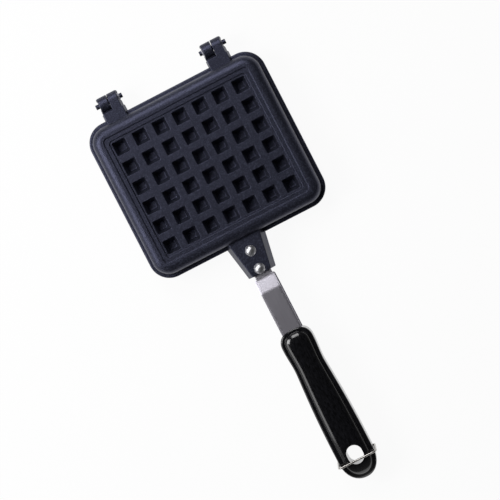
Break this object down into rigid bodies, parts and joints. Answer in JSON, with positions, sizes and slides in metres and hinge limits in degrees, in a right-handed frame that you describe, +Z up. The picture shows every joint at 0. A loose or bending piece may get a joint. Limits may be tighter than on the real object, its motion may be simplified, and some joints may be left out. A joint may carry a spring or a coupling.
{
  "type": "stovetop waffle pan",
  "caption": "Hinged double-sided stovetop waffle pan: two non-stick cast halves with a square pit grid, steel straps, black grips and a wire bail latch.",
  "frame": {"origin": "on the surface the pan lies on, below the middle of its overall length and width", "axes": "+Y from the grips to the hinge, +Z up through the two halves, +X across along the hinge pins"},
  "size_m": [0.16, 0.3779, 0.0327],
  "materials": {
    "nonstick_casting": "cast aluminium with a dark grey speckled non-stick coating",
    "rivet_steel": "bright domed heads",
    "strap_steel": "fine brushed stainless steel",
    "phenolic_grip": "black moulded phenolic, glossy",
    "wire_steel": "drawn steel wire"
  },
  "bodies": {
    "lower_half": {"lower_plate": "nonstick_casting", "lower_strap": "strap_steel", "lower_front_rivet": "rivet_steel", "lower_rear_rivet": "rivet_steel", "lower_grip": "phenolic_grip", "hinge_pin_right": "rivet_steel"},
    "upper_half": {"upper_plate": "nonstick_casting", "upper_strap": "strap_steel", "upper_front_rivet": "rivet_steel", "upper_rear_rivet": "rivet_steel", "upper_grip": "phenolic_grip", "hinge_pin_left": "rivet_steel"},
    "bail": {"wire_bail": "wire_steel"}
  },
  "joints": [
    {"name": "pan_hinge", "type": "hinge", "parent": "lower_half", "child": "upper_half", "pos_m": [0, 0.18265, 0.016], "axis": [-1, 0, 0], "range_deg": [0, 180]},
    {"name": "bail_swing", "type": "hinge", "parent": "lower_half", "child": "bail", "pos_m": [0, -0.16895, 0.0076], "axis": [1, 0, 0], "range_deg": [0, 98]}
  ]
}
